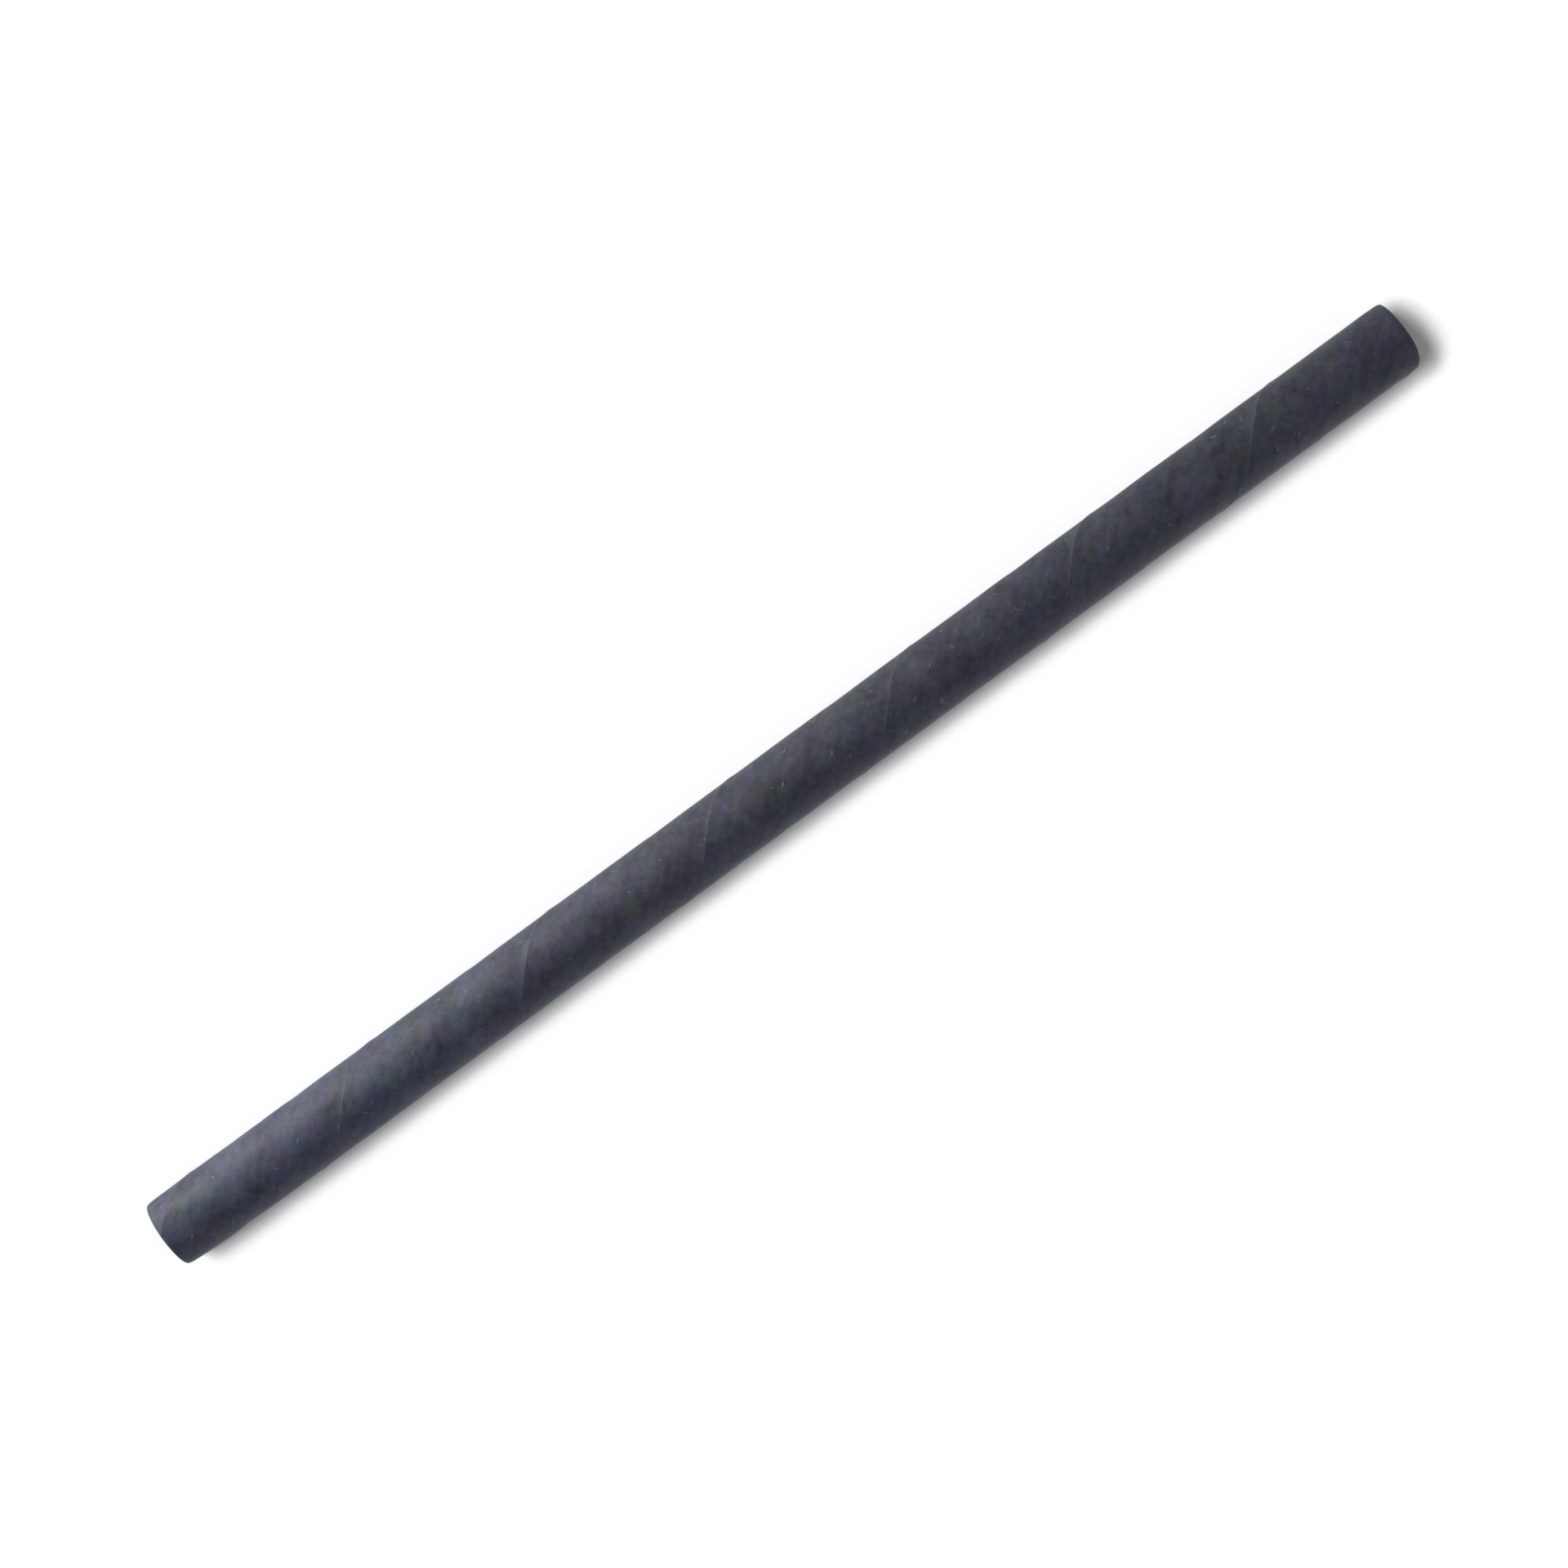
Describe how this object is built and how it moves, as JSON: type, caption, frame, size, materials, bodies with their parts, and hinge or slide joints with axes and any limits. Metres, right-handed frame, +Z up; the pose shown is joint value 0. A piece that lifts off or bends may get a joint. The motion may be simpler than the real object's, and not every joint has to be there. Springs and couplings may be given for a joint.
{
  "type": "paper drinking straw",
  "caption": "Straight round drinking straw spirally wound from dark paper plies, with a lapped outer edge and square-cut open ends.",
  "frame": {"origin": "on the ground under the middle of the straw, as it lies", "axes": "+X along the straw towards the picture's upper right end, +Y towards its lit upper left side, +Z up towards the camera"},
  "size_m": [0.2, 0.01, 0.01],
  "materials": {
    "dark_paper": "uncoated matt paper, dyed slate, with pale fibres"
  },
  "bodies": {
    "root": {"paper_tube": "dark_paper"}
  },
  "joints": []
}
